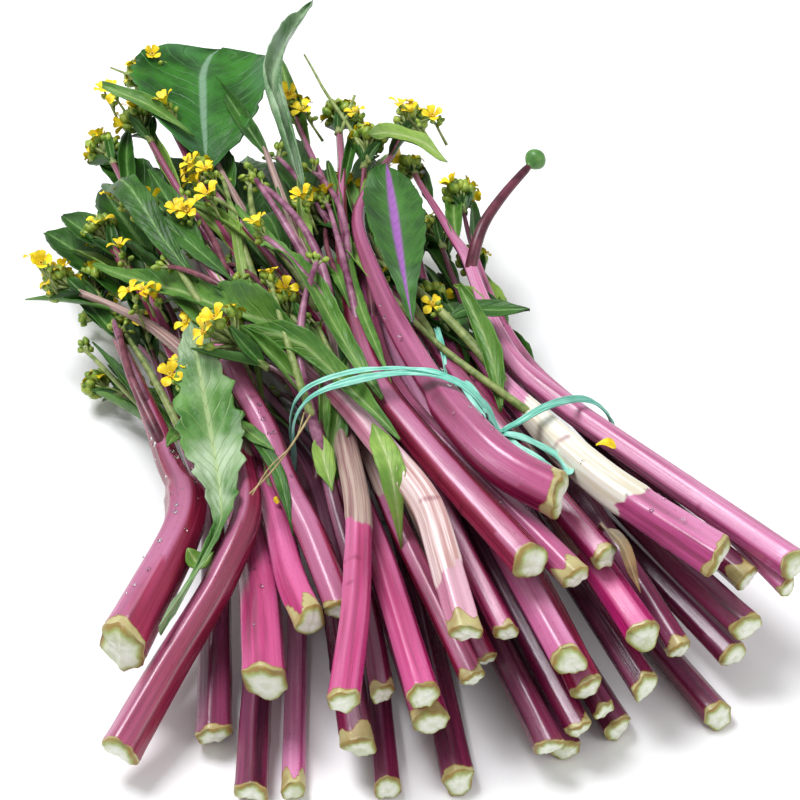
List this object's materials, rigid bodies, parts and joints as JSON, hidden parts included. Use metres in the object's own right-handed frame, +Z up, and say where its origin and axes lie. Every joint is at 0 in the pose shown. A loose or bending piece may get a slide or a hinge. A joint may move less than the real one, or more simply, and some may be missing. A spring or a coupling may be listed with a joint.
{
  "type": "choy sum bunch",
  "caption": "Bunch of purple-stemmed choy sum lying flat: thick cut stems at one end, leaves, bud heads and small yellow flowers at the other, held by a flat plastic strap with a bow",
  "frame": {"origin": "middle of the bunch's outline on the surface it lies on", "axes": "+Y along the bunch from the cut stem ends to the leafy tips, +Z up from the surface, +X across"},
  "size_m": [0.281, 0.423, 0.1043],
  "materials": {
    "stem": "glossy plant skin, purple red",
    "leaf": "satin leaf, dark green",
    "bud_head": "satin green and yellow",
    "tie": "soft plastic strap, turquoise"
  },
  "bodies": {
    "root": {"head_03": "bud_head", "head_08": "bud_head", "head_11": "bud_head", "head_34": "bud_head", "head_38": "bud_head", "leaf_01": "leaf", "leaf_02": "leaf", "leaf_03": "leaf", "leaf_04": "leaf", "leaf_05": "leaf", "leaf_06": "leaf", "leaf_07": "leaf", "leaf_08": "leaf", "leaf_09": "leaf", "leaf_10": "leaf", "leaf_11": "leaf", "leaf_12": "leaf", "leaf_13": "leaf", "round_bud": "bud_head", "stem_01": "stem", "stem_02": "stem", "stem_03": "stem", "stem_04": "stem", "stem_05": "stem", "stem_06": "stem", "stem_07": "stem", "stem_08": "stem", "stem_09": "stem", "stem_10": "stem", "stem_11": "stem", "stem_12": "stem", "stem_13": "stem", "stem_14": "stem", "stem_15": "stem", "stem_16": "stem", "stem_17": "stem", "stem_18": "stem", "stem_19": "stem", "stem_20": "stem", "stem_21": "stem", "stem_22": "stem", "stem_23": "stem", "stem_24": "stem", "stem_25": "stem", "stem_26": "stem", "stem_27": "stem", "stem_28": "stem", "stem_29": "stem", "stem_30": "stem", "stem_31": "stem", "stem_32": "stem", "stem_33": "stem", "stem_34": "stem", "stem_35": "stem", "stem_36": "stem", "stem_37": "stem", "stem_38": "stem", "stem_39": "stem", "stem_40": "stem", "tie": "tie"}
  },
  "joints": []
}
